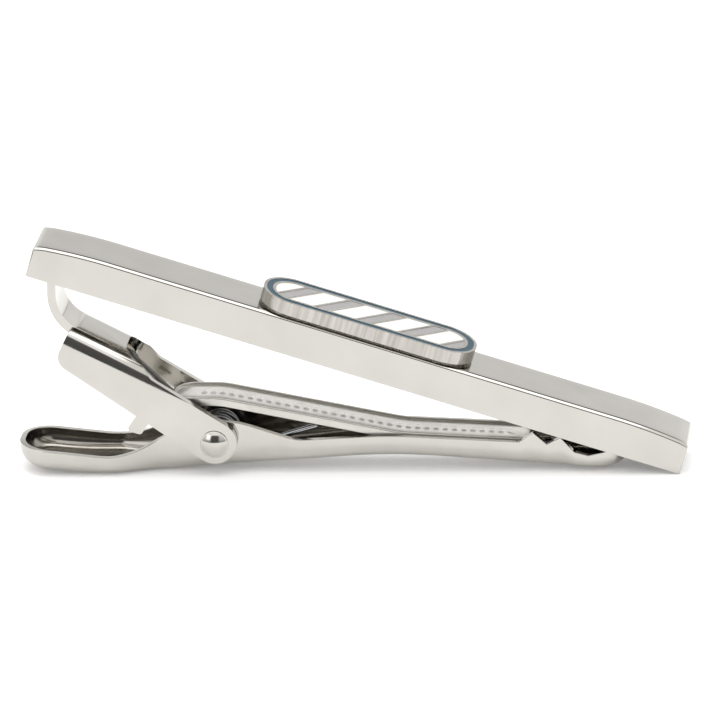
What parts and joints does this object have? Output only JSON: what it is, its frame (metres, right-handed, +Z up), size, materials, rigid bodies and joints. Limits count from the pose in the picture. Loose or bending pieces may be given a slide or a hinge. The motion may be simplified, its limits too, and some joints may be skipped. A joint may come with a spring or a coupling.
{
  "type": "tie clip",
  "caption": "Tie clip: enamelled bar on a folded bracket, with a riveted, spring-closed trough lever that grips the tie",
  "frame": {"origin": "middle of the bounding box in X and Y, on the surface the clip lies on", "axes": "X from the thumb dish to the nose, Y along the pivot rivet away from the viewer, Z up"},
  "size_m": [0.0597, 0.0076, 0.0215],
  "materials": {
    "bright_plate": "bright nickel-coloured plate, polished",
    "satin_plate": "same plate with a finely embossed floor",
    "spring_steel": "drawn wire, bright",
    "teal_enamel": "gloss enamel",
    "white_enamel": "gloss enamel",
    "grey_enamel": "gloss enamel"
  },
  "bodies": {
    "bar_side": {"front_bar": "bright_plate", "emblem_base": "bright_plate", "enamel_border": "teal_enamel", "enamel_white": "white_enamel", "enamel_grey": "grey_enamel", "clip_bracket": "bright_plate", "pivot_rivet": "bright_plate", "torsion_spring": "spring_steel"},
    "lever_side": {"lever": "bright_plate", "grip_plate": "satin_plate"}
  },
  "joints": [
    {"name": "lever_hinge", "type": "hinge", "parent": "bar_side", "child": "lever_side", "pos_m": [-0.01204, 0, 0.00308], "axis": [0, 1, 0], "range_deg": [0, 12.5], "stiffness_Nm_per_rad": 0.04, "springref_deg": -17.19, "deforming": ["torsion_spring"]}
  ]
}
